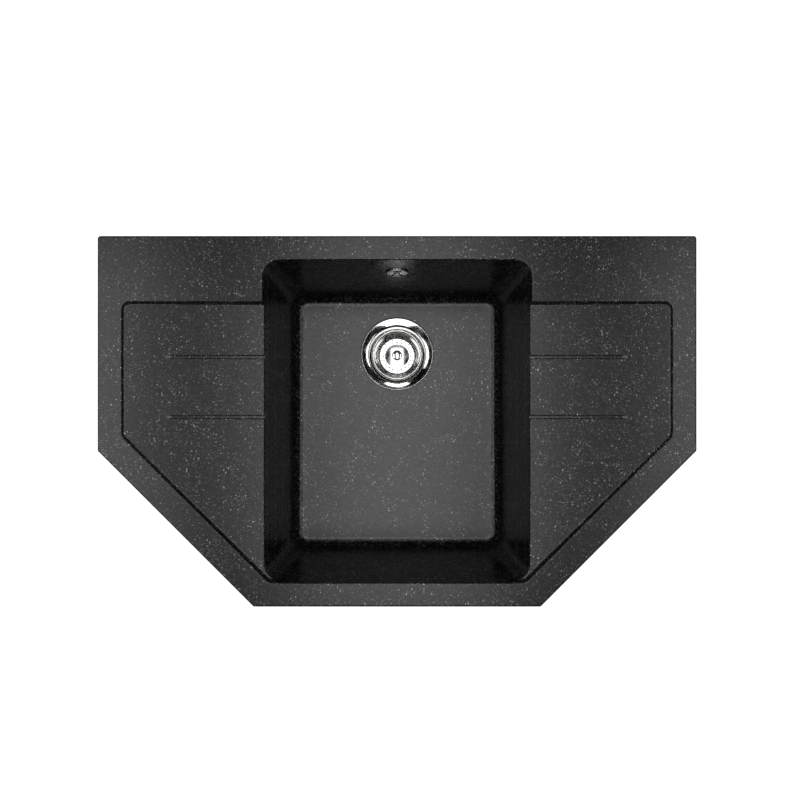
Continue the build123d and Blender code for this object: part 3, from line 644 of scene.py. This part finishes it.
def overflow_hose():
    """The ribbed hose: flanged straight necks and, between them, ribs whose radius is an eased wave."""
    drop = hose_top - hose_level - hose_bend
    length = drop + hose_bend * np.pi / 2 + hose_back - hose_bend - hose_front
    share = np.linspace(0, hose_ribs, hose_ribs * hose_steps_per_rib + 1)
    wave = np.clip(0.5 - hose_wave * np.cos(2 * np.pi * share), 0, 1)
    place = hose_neck_length + share / hose_ribs * (length - 2 * hose_neck_length)
    radius = hose_groove + (hose_crest - hose_groove) * wave * wave * (3 - 2 * wave)
    half, _ = bent_line([
        (hose_bore, 0), (hose_crest, 0), (hose_crest, hose_flange), (hose_neck, hose_flange),
        (hose_neck, hose_neck_length - hose_neck_step), (hose_groove, hose_neck_length),
    ], hose_edge, 3)
    ribs = np.stack([radius, place], axis=1)
    other_half = np.stack([half[:, 0], length - half[:, 1]], axis=1)[::-1]
    bore_places = np.linspace(length, 0, hose_bore_points)
    bore = np.stack([np.full(hose_bore_points, hose_bore), bore_places], axis=1)
    outline = np.concatenate([half, ribs[1:-1], other_half, bore[1:]])
    make_piece("ribbed_hose", [along_hose(outline[:, 1], outline[:, 0])], hose_finish, "sink",
               "hose_plastic", "overflow_hose", sharp=sharp_edge)


# ---- studio ----------------------------------------------------------------------------------------------
def studio_floor():
    """A pale floor under the waste, open to views from below, that shows white and keeps the sink's shadow."""
    level = cad_box[0].z / MM - floor_gap
    half = floor_side / 2
    mesh = bpy.data.meshes.new("studio_floor")
    corners = [(-half, -half), (half, -half), (half, half), (-half, half)]
    mesh.from_pydata([(x * MM, y * MM, level * MM) for x, y in corners], [], [(0, 1, 2, 3)])
    pale = Finish("studio_floor")
    camera, glossy, through = pale.ray_kinds()
    tone = pale.mix(pale.noise(pale.place(), floor_drift), *map(grey, floor_tones))
    paint = pale.add("ShaderNodeBsdfDiffuse", None, {"Color": tone})
    strength = (camera + glossy + through) * floor_glow_seen + floor_glow
    glow = pale.add("ShaderNodeEmission", None, {"Color": grey(1.0), "Strength": strength})
    both = pale.add("ShaderNodeAddShader", None, {0: paint, 1: glow})
    behind = pale.add("ShaderNodeNewGeometry", out="Backfacing")
    clear = pale.add("ShaderNodeBsdfTransparent")
    shader = pale.add("ShaderNodeMixShader", None, {0: behind, 1: both, 2: clear})
    pale.add("ShaderNodeOutputMaterial", None, {"Surface": shader})
    mesh.materials.append(pale.material)
    floor = bpy.data.objects.new("studio_floor", mesh)
    bpy.context.scene.collection.objects.link(floor)


def soft_box(name, middle, size):
    """A level lamp of that size in millimetres that shines down, as bright all over as the other lamps."""
    lamp = bpy.data.lights.new(name, "AREA")
    lamp.shape = "RECTANGLE"
    lamp.size, lamp.size_y = (side * MM for side in size)
    lamp.energy = strip_radiance * math.pi * lamp.size * lamp.size_y
    box = bpy.data.objects.new(name, lamp)
    box.location = np.asarray(middle) * MM
    bpy.context.scene.collection.objects.link(box)


def studio_lights():
    """Three long soft boxes high over the sink, parallel to its sides, and a small low one behind it."""
    front, back = strip_reach
    for number, (low, high) in enumerate(strip_spans, start=1):
        middle = np.array([(low + high) / 2, (front + back) / 2, 1.0]) * strip_height
        soft_box(f"soft_box_{number}", middle, ((high - low) * strip_height, (back - front) * strip_height))
    soft_box("low_lamp", low_lamp, low_lamp_size)


def studio_world():
    """White behind the sink, dark overhead and pale at the horizon in reflections, and a low even fill."""
    world = bpy.data.worlds.new("studio")
    world.use_nodes = True
    bpy.context.scene.world = world
    air = Finish(tree=world.node_tree)
    way = air.add("ShaderNodeTexCoord", out="Generated")
    height = air.add("ShaderNodeSeparateXYZ", None, {"Vector": way}, "Z")
    glow = height.stepped(0.0, horizon_top, horizon_glow, 0.0)
    camera, glossy, through = air.ray_kinds()
    strength = (camera + through) + glossy * glow + (1 - camera - through - glossy) * world_fill
    light = air.add("ShaderNodeBackground", None, {"Color": grey(1.0), "Strength": strength})
    air.add("ShaderNodeOutputWorld", None, {"Surface": light})


def photo_camera():
    """The camera of the photograph, looking straight down, with the small shift of its frame."""
    lens = bpy.data.cameras.new("camera")
    lens.sensor_width = sensor_width
    lens.lens = sensor_width * photo_focal_pixels / photo_width
    lens.shift_x = 0.5 - photo_axis[0] / photo_width
    lens.shift_y = photo_axis[1] / photo_width - 0.5
    camera = bpy.data.objects.new("camera", lens)
    camera.location = (0, 0, camera_height * MM)
    bpy.context.scene.collection.objects.link(camera)
    bpy.context.scene.camera = camera


# ---- the sink in its finishes ----------------------------------------------------------------------------
dress("sink_body", stone_finish)
dress("rim_seal", foam_finish)
dress("flange_seal", rubber_finish)
dress("under_seal", rubber_finish)
dress("waste_housing", outlet_finish, 0.6)
dress("waste_screw", plain_steel, 0.2)
dress("basket_post", plain_steel)
dress("basket_stopper", rubber_finish, 0.4)
dress("overflow_cover", bright_steel, 0.3)
dress("overflow_screw", plain_steel, 0.12)
dress("overflow_seal", rubber_finish)
dress("overflow_elbow", white_finish, 0.5)
dress("upper_hose_nut", white_finish, 0.4)
dress("lower_hose_nut", white_finish, 0.4)
dress("clip_sockets", socket_finish, 0.2)
for number in clip_numbers:
    low, high = (corner / MM for corner in clip_boxes[number])
    axis = ((low.x + high.x) / 2, (low.y + high.y) / 2)
    thread = (clip_pitch, clip_thread_depth, low.z + clip_head + clip_pitch, high.z, axis, clip_core)
    dress(f"clip_{number}_screw", zinc_plate(f"screw_{number}_zinc", thread), 0.2)
    dress(f"clip_{number}_claw", claw_finish, 0.3)
waste_cup()
strainer_basket()
basket_knob()
overflow_hose()
studio_floor()
studio_lights()
studio_world()
photo_camera()
bpy.context.scene.view_settings.view_transform = "Standard"
